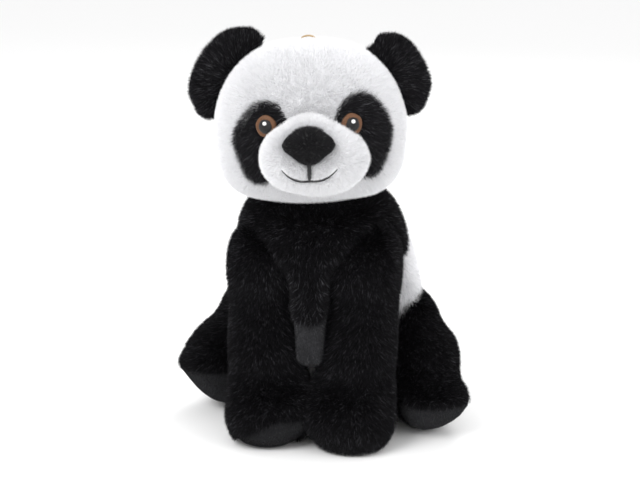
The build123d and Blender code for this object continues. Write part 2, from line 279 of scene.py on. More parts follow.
def scatter(piece, count, seed):
    """Even random places on a skin, with their normals."""
    rng = np.random.default_rng(seed)
    places, normals, corners, area = surface_of(piece)
    picked = rng.choice(len(area), size=count, p=area / area.sum())
    u, v = rng.random(count), rng.random(count)
    flip = u + v > 1
    u[flip], v[flip] = 1 - u[flip], 1 - v[flip]
    weights = np.stack([1 - u - v, u, v], axis=1)[:, :, None]
    spots = (places[corners[picked]] * weights).sum(axis=1)
    out = (normals[corners[picked]] * weights).sum(axis=1)
    out /= np.maximum(np.linalg.norm(out, axis=1, keepdims=True), 1e-9)
    return spots, out, rng


def waves(spots, scale, seed):
    """Smooth wandering values from -1 to 1, for clumps and swirls in the pile."""
    rng = np.random.default_rng(seed)
    total = np.zeros(len(spots))
    for _ in range(5):
        heading = rng.normal(size=3)
        heading *= scale * rng.uniform(0.6, 1.6) / np.linalg.norm(heading)
        total += np.sin(spots @ heading + rng.uniform(0, 2 * math.pi))
    return total / 5


def grow_pile(name, spots, out, rng, materials, length, width, lay, lean, spread=0.35,
              painted_highlight_share=0.0, segments=1, ragged=0.25):
    """Tapered strands: each leans along `lay` and sways with its neighbours."""
    count = len(spots)
    lay = np.broadcast_to(np.asarray(lay, dtype=float), (count, 3))
    along = lay - out * (lay * out).sum(axis=1, keepdims=True)
    along /= np.maximum(np.linalg.norm(along, axis=1, keepdims=True), 1e-6)
    across = np.cross(out, along)
    swirl = waves(spots, 320, SEED)[:, None] * 0.55 + rng.normal(0, spread, (count, 1))
    clump = 1 + 0.35 * waves(spots, 900, SEED + 1)
    lean = np.broadcast_to(lean, (count,)) * (1 + rng.normal(0, 0.25, count)) * clump
    heading = out + along * lean[:, None] + across * swirl * (0.4 + 0.6 * lean[:, None])
    heading /= np.linalg.norm(heading, axis=1, keepdims=True)
    reach = np.broadcast_to(length, (count,)) * (1 - ragged * rng.random(count)) * (0.9 + 0.12 * clump)
    side = np.cross(heading, rng.normal(size=(count, 3)))
    side /= np.maximum(np.linalg.norm(side, axis=1, keepdims=True), 1e-6)
    half = (width * (0.7 + 0.6 * rng.random(count)) / 2)[:, None]
    root = spots - out * 0.3 * MM
    tip = root + heading * reach[:, None]
    if segments == 1:
        corners = np.stack([root - side * half, root + side * half, tip], axis=1)
        faces = np.arange(count * 3).reshape(-1, 3)
        vertices = corners.reshape(-1, 3)
        picks = np.arange(count)
    else:
        droop = (along * 0.35 - out * 0.12) * reach[:, None]
        knee = root + heading * reach[:, None] * 0.55
        tip = tip + droop
        corners = np.stack([root - side * half, root + side * half,
                            knee + side * half * 0.75, knee - side * half * 0.75, tip], axis=1)
        vertices = corners.reshape(-1, 3)
        base = (np.arange(count) * 5)[:, None]
        faces = np.concatenate([base + [0, 1, 2], base + [0, 2, 3], base + [3, 2, 4]], axis=1).reshape(-1, 3)
        picks = np.repeat(np.arange(count), 3)
    mesh = bpy.data.meshes.new(name)
    mesh.vertices.add(len(vertices))
    mesh.vertices.foreach_set("co", vertices.ravel())
    mesh.loops.add(faces.size)
    mesh.loops.foreach_set("vertex_index", faces.ravel().astype(np.int32))
    mesh.polygons.add(len(faces))
    mesh.polygons.foreach_set("loop_start", np.arange(0, faces.size, 3, dtype=np.int32))
    shade = rng.integers(0, len(materials) - 1, count) if len(materials) > 1 else np.zeros(count, int)
    # Painted highlight: this share of the strands takes the last, lighter colour.
    shade[rng.random(count) < painted_highlight_share] = len(materials) - 1
    mesh.polygons.foreach_set("material_index", shade[picks].astype(np.int32))
    mesh.update()
    mesh.validate()
    for material in materials:
        mesh.materials.append(material)
    piece = bpy.data.objects.new(name, mesh)
    bpy.context.scene.collection.objects.link(piece)
    return piece


# ---- skins grown over the frame ----
def keep_outer_shell(bm):
    """Drops loose parts left inside, so only the outside of the skin stays."""
    seen, shells = set(), []
    for start in bm.verts:
        if start in seen:
            continue
        shell, edge_of_shell = [], [start]
        seen.add(start)
        while edge_of_shell:
            vertex = edge_of_shell.pop()
            shell.append(vertex)
            for edge in vertex.link_edges:
                other = edge.other_vert(vertex)
                if other not in seen:
                    seen.add(other)
                    edge_of_shell.append(other)
        shells.append(shell)
    shells.sort(key=len)
    bmesh.ops.delete(bm, geom=[vertex for shell in shells[:-1] for vertex in shell], context="VERTS")


def relax(piece, rounds, factor=0.5):
    bm = bmesh.new()
    bm.from_mesh(piece.data)
    keep_outer_shell(bm)
    for _ in range(rounds):
        bmesh.ops.smooth_vert(bm, verts=bm.verts, factor=factor,
                              use_axis_x=True, use_axis_y=True, use_axis_z=True)
    bm.to_mesh(piece.data)
    bm.free()


def push_along_normals(piece, distance):
    mesh = piece.data
    places, normals = points_of(mesh)
    if callable(distance):
        distance = distance(places)[:, None]
    move_points(mesh, places + normals * distance)


def sew_skin(name, nodes, material, inset, voxel=4.0, rounds=6, lumps=(), pressure=3.0, reach=2.0,
             sculpt=None):
    """A stuffed cover: the frame's own solids melted together, drawn in by the pile, and filled."""
    bm = bmesh.new()
    for node in nodes:
        bm.from_mesh(frame["nodes"][node].data)
    for centre, radii in lumps:
        add_lump(bm, Vector(centre), radii)
    piece = finish_mesh(name, bm, [material])
    melt(piece, voxel, rounds)
    push_along_normals(piece, -(inset + 0.4) * MM)
    if sculpt:
        places, _ = points_of(piece.data)
        move_points(piece.data, sculpt(places))
    relax(piece, 2)
    stuff(piece, pressure, reach)
    smooth = piece.modifiers.new("rounding", "SUBSURF")
    smooth.levels = smooth.render_levels = 1
    apply_modifiers(piece)
    piece.data.polygons.foreach_set("use_smooth", [True] * len(piece.data.polygons))
    piece.data.update()
    return piece


def tree_of(piece):
    bm = bmesh.new()
    bm.from_mesh(piece.data)
    tree = BVHTree.FromBMesh(bm)
    bm.free()
    return tree


HEAD_TURN = Matrix.Rotation(math.radians(-1.5), 4, "Y") @ Matrix.Rotation(math.radians(8.0), 4, "Z")
NECK_REST = Vector((0, -0.016, 0.147))
HEAD_PLACE = Matrix.Translation(joint_place("head_nod")) @ HEAD_TURN @ Matrix.Translation(-NECK_REST)
HEAD_LOCAL = HEAD_PLACE.inverted()


def to_head(spots):
    """World places in the head's own upright axes, in millimetres."""
    turn = np.array(HEAD_LOCAL.to_3x3())
    return (spots @ turn.T + np.array(HEAD_LOCAL.translation)) / MM


def from_head(x, y, z):
    return HEAD_PLACE @ Vector((x * MM, y * MM, z * MM))


def front_spot(tree, x, z, lift=0.0):
    """Where a line from straight in front meets the skin, lifted off it, with the skin's normal."""
    start = from_head(x, -140, z)
    toward = (HEAD_PLACE.to_3x3() @ Vector((0, 1, 0))).normalized()
    place, normal, _, _ = tree.ray_cast(start, toward)
    if place is None:
        raise ValueError(f"nothing in front of the face at {x}, {z}")
    if normal.dot(toward) > 0:
        normal = -normal
    return place + normal * lift * MM, normal


# ---- the toy's own measures, in millimetres ----
EYE_X, EYE_Z = 22.8, 193.6
IRIS_RADIUS, PUPIL_RADIUS, HIGHLIGHT_RADIUS = 6.1, 4.0, 1.25
PATCH_PLACES = {1: (27.8, 185.6), -1: (24.4, 183.4)}
PATCH_HALF_WIDTH, PATCH_ABOVE, PATCH_BELOW, PATCH_LEAN = 14.6, 22.5, 20.0, 14.0
MOUTH_HALF_WIDTH, MOUTH_SAG, MOUTH_Z = 14.5, 6.5, 173.6
SEAM_WIDTH, SEAM_DEPTH = 1.5, 0.4


def patch_share(local, side, grow=0.0):
    """Below 1 inside an eye patch; `local` is in head millimetres."""
    lean = math.radians(PATCH_LEAN)
    dx = local[:, 0] * side - PATCH_PLACES[side][0]
    dz = local[:, 2] - PATCH_PLACES[side][1]
    across = dx * math.cos(lean) + dz * math.sin(lean)
    along = -dx * math.sin(lean) + dz * math.cos(lean)
    reach = np.where(along > 0, PATCH_ABOVE, PATCH_BELOW) + grow
    low = np.clip(-along / reach, 0, 1)
    share = np.hypot(across / ((PATCH_HALF_WIDTH + grow) * (1 - 0.4 * low)), along / reach)
    share[local[:, 1] > -22] = 9
    return share


def nearest_share(local, lines, reach):
    """Below 1 within `reach` of any of the points in `lines` (x, z pairs), seen from the front."""
    lines = np.asarray(lines)
    gaps = np.hypot(local[:, None, 0] - lines[None, :, 0], local[:, None, 2] - lines[None, :, 1])
    share = gaps.min(axis=1) / reach
    share[local[:, 1] > -60] = 9
    return share


# ---- cloths shared by the pieces ----
CLOTH = {}


def tinted(colour, share):
    return tuple(min(1.0, channel * share) for channel in colour)


def pile_cloths(name, colour, shades, bright, roughness=0.8, sheen=0.2, specular=0.2):
    """Strand colours of one cloth: several close shades and, last, a lighter colour for the few strands that catch the
    light, as painted highlight.
    """
    strands = [plain_cloth(f"{name}_strand_{number}", tinted(colour, share), roughness, sheen, specular)
               for number, share in enumerate(shades)]
    return strands + [plain_cloth(f"{name}_strand_painted_highlight", bright, roughness - 0.25, sheen, specular)]


def cloths():
    """Makes every cloth once, from the colours in the panel."""
    if CLOTH:
        return CLOTH
    colours = bpy.context.scene.panda_colours
    white, black, charcoal = tuple(colours.white), tuple(colours.black), tuple(colours.charcoal)
    CLOTH["white_skin"] = backing_cloth("white_backing", tinted(white, 0.72), tinted(white, 0.95))
    CLOTH["black_skin"] = backing_cloth("black_backing", tinted(black, 0.4), tinted(black, 1.1))
    CLOTH["charcoal_skin"] = backing_cloth("charcoal_backing", tinted(charcoal, 0.5), tinted(charcoal, 1.25),
                                           scale=1500.0)
    # The last colour given to each pile is the lighter colour of its painted highlight strands.
    CLOTH["white"] = pile_cloths("white", white, (0.93, 0.97, 1.0), tinted(white, 1.08), 0.75, 0.3)
    CLOTH["black"] = pile_cloths("black", black, (0.55, 0.9, 1.4), (0.10, 0.10, 0.11), 0.65, 0.0, 0.14)
    CLOTH["long_black"] = pile_cloths("long_black", black, (0.6, 1.1, 1.9), (0.085, 0.085, 0.092), 0.65, 0.0, 0.14)
    CLOTH["charcoal"] = pile_cloths("charcoal", charcoal, (0.7, 0.95, 1.2), (0.12, 0.12, 0.13), 0.7, 0.15, 0.2)
    CLOTH["nose"] = pile_cloths("nose", black, (0.6, 0.9, 1.3), (0.08, 0.08, 0.08), 0.65, 0.05, 0.2)
    return CLOTH


def wear(piece, body, slot_name, *nodes):
    """Fixes a finished piece to the body and hides the frame nodes that it stands for."""
    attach(piece, body)
    if nodes:
        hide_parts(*nodes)
    return piece


def bend(piece, bodies, start, end, slot_name, *nodes):
    """For cloth that crosses a joint: moves the piece's place into its points and hides the frame nodes that it stands
    for.
    """
    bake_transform(piece)
    if nodes:
        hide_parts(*nodes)
    return piece


def pile_on(name, skin, count, cloth, length, width, lay, lean, seed, keep=None, segments=1, spread=0.35,
            painted_highlight_share=0.03, ragged=0.25, scale_by=None):
    """Pile on the part of a skin that `keep` picks; `lay` is a direction or a function of the places."""
    spots, out, rng = scatter(skin, count, seed)
    if keep is not None:
        kept = keep(spots, out)
        spots, out = spots[kept], out[kept]
    kept = spots[:, 2] > 0.5 * MM
    spots, out = spots[kept], out[kept]
    way = lay(spots) if callable(lay) else lay
    reach = np.full(len(spots), length)
    if scale_by is not None:
        reach = reach * scale_by(spots)
    return grow_pile(name, spots, out, rng, cloth, reach, width, way, lean, spread=spread,
                     painted_highlight_share=painted_highlight_share, segments=segments, ragged=ragged)


def off_floor(piece):
    """Strands that would go through the floor lie down on it."""
    places, _ = points_of(piece.data)
    places[:, 2] = np.maximum(places[:, 2], 0.1 * MM)
    move_points(piece.data, places)
    return piece


class Shared:
    """Skins that later pieces are laid on."""
    head = None
    head_tree = None
    muzzle_tree = None


def combed_from_nose(spots):
    """Face pile runs out from the nose, and down the back of the head."""
    local = to_head(spots)
    way = local - np.array([0.0, -75.0, 186.0])
    way[:, 1] = np.maximum(way[:, 1], 12)
    turn = np.array(HEAD_PLACE.to_3x3())
    return way @ turn.T


def head_shape(places):
    """Fuller cheeks low on the sides and a slightly flattened crown."""
    local = to_head(places)
    middle = np.array([0.0, -20.0, 189.5])
    from_middle = local - middle
    low = np.exp(-((local[:, 2] - 178) / 20) ** 2)
    sides = np.clip(np.abs(from_middle[:, 0]) / 50, 0, 1) ** 2
    from_middle[:, 0] *= 1 + 0.035 * low * sides
    crown = np.clip((from_middle[:, 2] - 34) / 16, 0, 1)
    from_middle[:, 2] -= 1.6 * crown ** 2
    local = from_middle + middle
    turn = np.array(HEAD_PLACE.to_3x3())
    return local * MM @ turn.T + np.array(HEAD_PLACE.translation)


def head_seams(places):
    """Depth of the sewn lines: round the head in front of the ears, and both sides of the gusset."""
    local = to_head(places)
    ring = np.exp(-((local[:, 1] + 12) / SEAM_WIDTH) ** 2)
    gusset = np.exp(-((np.abs(local[:, 0]) - 11) / SEAM_WIDTH) ** 2) * (local[:, 1] < -12) * (local[:, 2] > 200)
    back = np.exp(-(local[:, 0] / SEAM_WIDTH) ** 2) * (local[:, 1] > -12)
    return -SEAM_DEPTH * MM * np.maximum(np.maximum(ring, gusset), back)


COLLAR_FILLING = [((x * MM, y * MM, 138 * MM), (26, 26, 17)) for x in (-13, 7) for y in (-14, 4)]
CHEEK_FILLING = [(from_head(side * 29, y, 170), (26, 26, 26)) for side in (1, -1) for y in (-30, -14)]


class PANDA_OT_head(bpy.types.Operator):
    """Head cover with its seams and short white pile"""
    bl_idname = "panda.head"
    bl_label = "Head"

    def execute(self, context):
        cloth, pile = cloths(), context.scene.panda_pile
        skin = sew_skin("head_cover", ["head_stuffing", "forehead_gusset", "face_panel_left", "face_panel_right",
                                       "back_head_panel_left", "back_head_panel_right"],
                        cloth["white_skin"], 2.6, voxel=4.0, rounds=8, lumps=CHEEK_FILLING, sculpt=head_shape)
        push_along_normals(skin, head_seams)
        Shared.head = skin
        Shared.head_tree = tree_of(skin)

        def open_face(spots):
            local = to_head(spots)
            patches = np.minimum(patch_share(local, 1, -1.5), patch_share(local, -1, -1.5)) > 1
            under_muzzle = ((local[:, 0] / 32) ** 2 + ((local[:, 2] - 177) / 17) ** 2 < 1) & (local[:, 1] < -55)
            return patches & ~under_muzzle & (local[:, 2] > 142)

        lengths = lambda spots: 1 - 0.25 * np.exp(-((to_head(spots)[:, 1] + 12) / 2.0) ** 2)
        face = pile_on("face_pile", skin, 330000, cloth["white"], pile.head_pile, 0.34 * MM, combed_from_nose,
                       0.25, SEED, spread=0.8, ragged=0.45, scale_by=lengths,
                       keep=lambda spots, out: open_face(spots) & (to_head(spots)[:, 1] < -12))
        back = pile_on("back_head_pile", skin, 300000, cloth["white"], pile.head_pile, 0.36 * MM, combed_from_nose,
                       0.3, SEED + 1, spread=0.8, ragged=0.45, scale_by=lengths,
                       keep=lambda spots, out: to_head(spots)[:, 1] >= -12)
        wear(face, "head", "white_plush", "forehead_gusset", "face_panel_left", "face_panel_right")
        wear(back, "head", "white_plush", "back_head_panel_left", "back_head_panel_right")
        wear(skin, "head", "white_plush", "head_stuffing")
        neck = sew_skin("neck_cover", ["neck_stuffing"], cloth["black_skin"], 0.2, voxel=3.4, rounds=4, pressure=1.0,
                        reach=0.5, lumps=COLLAR_FILLING)
        collar = pile_on("neck_pile", neck, 60000, cloth["black"], pile.body_pile * 0.8, 0.42 * MM, (0, 0.2, -1), 0.5,
                         SEED + 50, keep=lambda spots, out: spots[:, 2] > 128 * MM, painted_highlight_share=0.045, ragged=0.5,
                         spread=0.5)
        wear(collar, "neck", "black_plush")
        wear(neck, "neck", "black_plush", "neck_stuffing")
        return {"FINISHED"}


# ---- threads ----
def thread_along(name, path, radius, material, twists=9.0):
    """A satin-stitched line: a thick thread whose surface winds round it, pointed at both ends."""
    bm = bmesh.new()
    rings = []
    count, sides = len(path), 10
    for number, (spot, normal) in enumerate(path):
        ahead = path[min(number + 1, count - 1)][0] - path[max(number - 1, 0)][0]
        ahead.normalize()
        across = normal.cross(ahead).normalized()
        up = ahead.cross(across).normalized()
        taper = min(1.0, 0.35 + 3.0 * min(number, count - 1 - number) / count)
        ring = []
        for side in range(sides):
            angle = 2 * math.pi * side / sides
            wind = 1 + 0.16 * math.sin(2 * angle + twists * 2 * math.pi * number / count)
            reach = radius * taper * wind
            ring.append(bm.verts.new(spot + across * math.cos(angle) * reach + up * math.sin(angle) * reach))
        rings.append(ring)
    for ring, following in zip(rings, rings[1:]):
        for side in range(sides):
            after = (side + 1) % sides
            bm.faces.new((ring[side], ring[after], following[after], following[side]))
    bm.faces.new(rings[0][::-1])
    bm.faces.new(rings[-1])
    return finish_mesh(name, bm, [material])


def smile_lines():
    """Points of the two mouth curves and the bar above them, seen from the front."""
    curve = []
    for number in range(41):
        share = number / 20 - 1
        lift = abs(share) ** 2.6 + 0.1 * (1 - abs(share)) ** 3
        curve.append((share * MOUTH_HALF_WIDTH, MOUTH_Z - MOUTH_SAG + MOUTH_SAG * lift))
    bar = [(0.0, MOUTH_Z - MOUTH_SAG + 0.6 * step) for step in range(22)]
    return curve, bar


MUZZLE_FILLING = [(from_head(3, -60, 175), (32.5, 21, 23)), (from_head(0, -62, 188), (17, 16, 16))]


class PANDA_OT_muzzle(bpy.types.Operator):
    """Muzzle cover with white pile, and the thread of the mouth and philtrum"""
    bl_idname = "panda.muzzle"
    bl_label = "Muzzle"

    def execute(self, context):
        cloth, pile = cloths(), context.scene.panda_pile
        skin = sew_skin("muzzle_stuffed", ["muzzle_cover", "muzzle_stuffing"], cloth["white_skin"], 2.4, voxel=3.4,
                        rounds=6, pressure=2.0, reach=1.2, lumps=MUZZLE_FILLING)
        Shared.muzzle_tree = tree_of(skin)
        curve, bar = smile_lines()

        def clear_of_thread(spots, out):
            local = to_head(spots)
            nose = np.hypot(local[:, 0] / 10, (local[:, 2] - 185.5) / 6.0) < 1
            return (nearest_share(local, curve + bar, 1.0) > 1) & ~(nose & (local[:, 1] < -70)) \
                & (local[:, 1] < -42)

        pile_piece = pile_on("muzzle_pile", skin, 110000, cloth["white"], pile.head_pile * 1.15, 0.36 * MM,
                             combed_from_nose, 0.3, SEED + 2, keep=clear_of_thread, spread=0.8, ragged=0.6)
        wear(pile_piece, "head", "white_plush", "muzzle_cover")
        wear(skin, "head", "white_plush", "muzzle_stuffing")
        thread = backing_cloth("black_thread", (0.008, 0.008, 0.009), (0.03, 0.03, 0.032), scale=2600, bump=0.6,
                               roughness=0.6)
        mouth = [front_spot(Shared.muzzle_tree, x, z, 2.0) for x, z in curve]
        middle = [front_spot(Shared.muzzle_tree, x, z, 2.0) for x, z in bar]
        wear(thread_along("mouth_thread", mouth, 0.62 * MM, thread, 14), "head", "black_thread", "mouth_stitch")
        wear(thread_along("philtrum_thread", middle, 1.15 * MM, thread, 7), "head", "black_thread",
             "philtrum_stitch")
        return {"FINISHED"}


class PANDA_OT_nose(bpy.types.Operator):
    """Padded nose: a rounded triangle of short black pile with a few longer tufts"""
    bl_idname = "panda.nose"
    bl_label = "Nose"

    def execute(self, context):
        cloth = cloths()
        bm = bmesh.new()
        for x, y, z, radii in ((-8.2, -84.5, 186.6, (5.8, 6.6, 4.9)), (8.2, -84.5, 186.6, (5.8, 6.6, 4.9)),
                               (0, -86.5, 187.6, (9.6, 8.2, 7.0)), (0, -84.5, 182.6, (8.6, 7.4, 6.2)),
                               (0, -83, 179.4, (5.0, 6.0, 4.0))):
            add_lump(bm, from_head(x, y, z), radii, HEAD_TURN, 3)
        skin = finish_mesh("nose_cover", bm, [cloth["black_skin"]])
        melt(skin, 1.6, 8)
        stuff(skin, 1.0, 0.4, 6)
        lengths = lambda spots: 0.9 + 1.3 * np.clip((to_head(spots)[:, 2] - 190) / 3, 0, 1)
        lay = lambda spots: (to_head(spots) - np.array([0, -95, 188])) @ np.array(HEAD_PLACE.to_3x3()).T
        strands = pile_on("nose_pile", skin, 26000, cloth["nose"], 2.4 * MM, 0.3 * MM, lay, 0.35, SEED + 3,
                          segments=2, spread=0.7, painted_highlight_share=0.04, ragged=0.55, scale_by=lengths)
        wear(strands, "head", "nose_plush")
        wear(skin, "head", "nose_plush", "nose")
        return {"FINISHED"}


# ---- eyes ----
def polar_disc(name, centre, normal, inner, outer, dome, materials, spokes=72, rings=6, ridge=0.0, tilt=0.0):
    """Embroidered disc of thread lying round a middle point; ridges run outwards like the stitches."""
    up = (HEAD_PLACE.to_3x3() @ Vector((0, 0, 1))).normalized()
    across = up.cross(normal).normalized()
    up = normal.cross(across).normalized()
    bm = bmesh.new()
    grid = []
    for ring in range(rings + 1):
        share = ring / rings
        radius = inner + (outer - inner) * share
        row = []
        for spoke in range(spokes):
            angle = 2 * math.pi * spoke / spokes
            edge = 1 + 0.02 * math.sin(5 * angle + outer * 900) + 0.025 * (spoke % 2) * share
            height = dome * math.sqrt(max(0.0, 1 - (radius / (outer * 1.03)) ** 2)) + ridge * (spoke % 2)
            row.append(bm.verts.new(centre + (across * math.cos(angle) + up * math.sin(angle)) * radius * edge
                                    + normal * height))
        grid.append(row)
    for row, following in zip(grid, grid[1:]):
        for spoke in range(spokes):
            after = (spoke + 1) % spokes
            bm.faces.new((row[spoke], row[after], following[after], following[spoke]))
    low = [bm.verts.new(vertex.co - normal * 1.6 * MM) for vertex in grid[-1]]
    for spoke in range(spokes):
        after = (spoke + 1) % spokes
        bm.faces.new((grid[-1][spoke], grid[-1][after], low[after], low[spoke]))
    bm.faces.new(low)
    bm.faces.new(grid[0][::-1])
    return finish_mesh(name, bm, materials)


def thread_cloth(name, colour, dark):
    """Stitched thread: fine mottling between the thread colour and a darker tone, with a matching bump."""
    material = plain_cloth(name, colour, 0.55, 0.1, 0.35)
    nodes, links = material.node_tree.nodes, material.node_tree.links
    shader = shader_of(material)
    coords = nodes.new("ShaderNodeTexCoord")
    noise = nodes.new("ShaderNodeTexNoise")
    noise.inputs["Scale"].default_value = 1900
    noise.inputs["Detail"].default_value = 3
    mix = nodes.new("ShaderNodeMix")
    mix.data_type = "RGBA"
    mix.inputs["A"].default_value = (*dark, 1)
    mix.inputs["B"].default_value = (*colour, 1)
    level = nodes.new("ShaderNodeMapRange")
    level.inputs["From Min"].default_value = 0.35
    level.inputs["From Max"].default_value = 0.6
    bump = nodes.new("ShaderNodeBump")
    bump.inputs["Strength"].default_value = 0.5
    bump.inputs["Distance"].default_value = 0.3 * MM
    links.new(coords.outputs["Object"], noise.inputs["Vector"])
    links.new(noise.outputs["Fac"], level.inputs["Value"])
    links.new(level.outputs["Result"], mix.inputs["Factor"])
    links.new(mix.outputs["Result"], shader.inputs["Base Color"])
    links.new(noise.outputs["Fac"], bump.inputs["Height"])
    links.new(bump.outputs["Normal"], shader.inputs["Normal"])
    return material


def patch_skin(name, side, material):
    """Raised cloth patch laid on the head, its rim tucked in."""
    lean = math.radians(PATCH_LEAN)
    bm = bmesh.new()
    rings, spokes = 9, 40
    rows = []
    for ring in range(rings + 1):
        share = ring / rings
        row = []
        for spoke in range(spokes):
            angle = 2 * math.pi * spoke / spokes
            along = share * math.sin(angle) * (PATCH_ABOVE if math.sin(angle) > 0 else PATCH_BELOW)
            narrowing = 1 - 0.4 * share * max(0.0, -math.sin(angle))
            across = PATCH_HALF_WIDTH * share * math.cos(angle) * narrowing
            dx = across * math.cos(lean) - along * math.sin(lean)
            dz = across * math.sin(lean) + along * math.cos(lean)
            patch_x, patch_z = PATCH_PLACES[side]
            spot, normal = front_spot(Shared.head_tree, (patch_x + dx) * side, patch_z + dz, 0)
            row.append(bm.verts.new(spot + normal * (0.9 * (1 - share ** 4) - 0.4 * share ** 4) * MM))
            if ring == 0:
                break
        rows.append(row)
    for spoke in range(spokes):
        bm.faces.new((rows[0][0], rows[1][spoke], rows[1][(spoke + 1) % spokes]))
    for row, following in zip(rows[1:], rows[2:]):
        for spoke in range(spokes):
            after = (spoke + 1) % spokes
            bm.faces.new((row[spoke], following[spoke], following[after], row[after]))
    piece = finish_mesh(name, bm, [material])
    toward = HEAD_PLACE.to_3x3() @ Vector((0, -1, 0))
    if piece.data.polygons[0].normal.dot(toward) < 0:
        piece.data.flip_normals()
    return piece


class PANDA_OT_eyes(bpy.types.Operator):
    """Long-pile eye patches and the embroidered eyes on them"""
    bl_idname = "panda.eyes"
    bl_label = "Eyes and patches"

    def execute(self, context):
        cloth, pile = cloths(), context.scene.panda_pile
        iris_colour = tuple(context.scene.panda_colours.iris)
        for word, side in SIDES.items():
            skin = patch_skin(f"eye_patch_{word}_cloth", side, cloth["black_skin"])
            spot, normal = front_spot(Shared.head_tree, EYE_X * side, EYE_Z, 2.6)
            centre = np.array(spot)

            def off_eye(spots, out):
                return np.linalg.norm(spots - centre, axis=1) > (IRIS_RADIUS - 0.2) * MM

            def away_from_muzzle(spots):
                local = to_head(spots)
                way = local - np.array([12.0 * side, -80, 205])
                return way @ np.array(HEAD_PLACE.to_3x3()).T

            lengths = lambda spots: 0.45 + 0.5 * np.clip(
                (np.linalg.norm(spots - centre, axis=1) / MM - 6) / 9, 0, 1)
            strands = pile_on(f"eye_patch_{word}_pile", skin, 26000, cloth["long_black"], pile.long_pile, 0.36 * MM,
                              away_from_muzzle, 0.95, SEED + 5 + side, keep=off_eye, segments=2, spread=0.55,
                              painted_highlight_share=0.05, ragged=0.4, scale_by=lengths)
            wear(strands, "head", "black_long_plush")
            wear(skin, "head", "black_long_plush", f"eye_patch_{word}")
            brown = thread_cloth(f"iris_thread_{word}", iris_colour, tinted(iris_colour, 0.45))
            dark = thread_cloth(f"pupil_thread_{word}", (0.012, 0.011, 0.012), (0.004, 0.004, 0.004))
            pale = thread_cloth(f"highlight_thread_{word}", (0.9, 0.9, 0.9), (0.6, 0.6, 0.62))
            iris = polar_disc(f"iris_{word}_stitches", spot, normal, 2.6 * MM, IRIS_RADIUS * MM, 1.5 * MM, [brown],
                              spokes=56, ridge=0.45 * MM)
            pupil = polar_disc(f"pupil_{word}_stitches", spot + normal * 0.95 * MM, normal, 0.2 * MM,
                               PUPIL_RADIUS * MM, 1.7 * MM, [dark], ridge=0.12 * MM)
            up = (HEAD_PLACE.to_3x3() @ Vector((0, 0, 1))).normalized()
            glint_spot = spot + normal * 2.3 * MM + up * 1.6 * MM
            glint = polar_disc(f"highlight_{word}_stitches", glint_spot, normal, 0.1 * MM, HIGHLIGHT_RADIUS * MM,
                               0.4 * MM, [pale], spokes=20, rings=3, ridge=0.06 * MM)
            wear(iris, "head", "brown_thread", f"iris_{word}")
            wear(pupil, "head", "black_thread", f"pupil_{word}")
            wear(glint, "head", "white_thread", f"eye_highlight_{word}")
        return {"FINISHED"}


# ---- ears ----
def ear_axes(side):
    """Root point, direction out of the head, along the root, and the way the ear faces."""
    joint = "ear_left_fold" if side > 0 else "ear_right_fold"
    word = "left" if side > 0 else "right"
    root, along = joint_place(joint), joint_axis(joint)
    centre = (middle(f"ear_{word}_front") + middle(f"ear_{word}_back")) / 2
    out = centre - root
    out = (out - along * out.dot(along)).normalized()
    facing = out.cross(along).normalized()
    ahead = HEAD_PLACE.to_3x3() @ Vector((0, -1, 0))
    if facing.dot(ahead) < 0:
        facing = -facing
    return root, out, along, facing


class PANDA_OT_ears(bpy.types.Operator):
    """Cupped ears of long ragged black pile"""
    bl_idname = "panda.ears"
    bl_label = "Ears"

    def execute(self, context):
        cloth, pile = cloths(), context.scene.panda_pile
        for word, side in SIDES.items():
            root, out, along, facing = ear_axes(side)
            nodes = [f"ear_{word}_front", f"ear_{word}_back"]
            upper_end = -18 if side > 0 else -26
            lumps = [(root - out * low * MM + along * step * MM, (5.5, 5.5, 5.5))
                     for low in (2.0, 6.0) for step in range(upper_end, 27, 4)]

            def cup(places):
                from_root = places - np.array(root)
                high = from_root @ np.array(out) / MM
                wide = from_root @ np.array(along) / MM
                ahead = from_root @ np.array(facing) / MM
                bowl = np.clip(1 - (wide / 24) ** 2, 0, 1) * np.clip((high + 2) / 12, 0, 1) \
                    * np.clip((26 - high) / 10, 0, 1)
                dent = np.where(ahead > 0, 4.0, 2.6) * bowl
                rim = 1.6 * np.clip(high / 22, 0, 1) ** 2
                moved = places + np.array(facing) * ((rim - dent) * MM)[:, None]
                tip = np.clip(high / 20, 0, 1)
                moved -= np.array(out) * (high * 0.27 * tip * MM)[:, None]
                if side > 0:
                    moved += np.array(along) * (np.clip(-wide, 0, 30) * 0.24 * MM)[:, None]
                moved -= np.array(along) * (wide * (0.06 + 0.07 * tip) * MM)[:, None]
                return moved

            skin = sew_skin(f"ear_{word}_cover", nodes, cloth["black_skin"], 1.4, voxel=3.0, rounds=4, lumps=lumps,
                            pressure=1.5, reach=0.8, sculpt=cup)
            swept = lambda spots, root=root, out=out: (spots - np.array(root)) + np.array(out) * 12 * MM
            # The front pile has a larger share of painted highlight strands than the back.
            front = pile_on(f"ear_{word}_front_pile", skin, 44000, cloth["long_black"], pile.long_pile * 0.72,
                            0.4 * MM, swept, 0.85, SEED + 8 + side,
                            keep=lambda spots, normals: normals @ np.array(facing) > 0, segments=2, spread=0.6,
                            painted_highlight_share=0.07, ragged=0.5)
            back = pile_on(f"ear_{word}_back_pile", skin, 44000, cloth["long_black"], pile.long_pile * 0.72,
                           0.4 * MM, swept, 0.8, SEED + 12 + side,
                           keep=lambda spots, normals: normals @ np.array(facing) <= 0, segments=2, spread=0.6,
                           painted_highlight_share=0.05, ragged=0.5)
            bodies = ("head", f"ear_{word}")
            low, high = root - out * 3 * MM, root + out * 6 * MM
            bend(front, bodies, low, high, "black_long_plush", f"ear_{word}_front")
            bend(back, bodies, low, high, "black_long_plush", f"ear_{word}_back")
            bend(skin, bodies, low, high, "black_long_plush")
        return {"FINISHED"}


# ---- torso ----
YOKE_SLOPE, YOKE_FRONT = math.radians(33), (-40.0, 86.0)
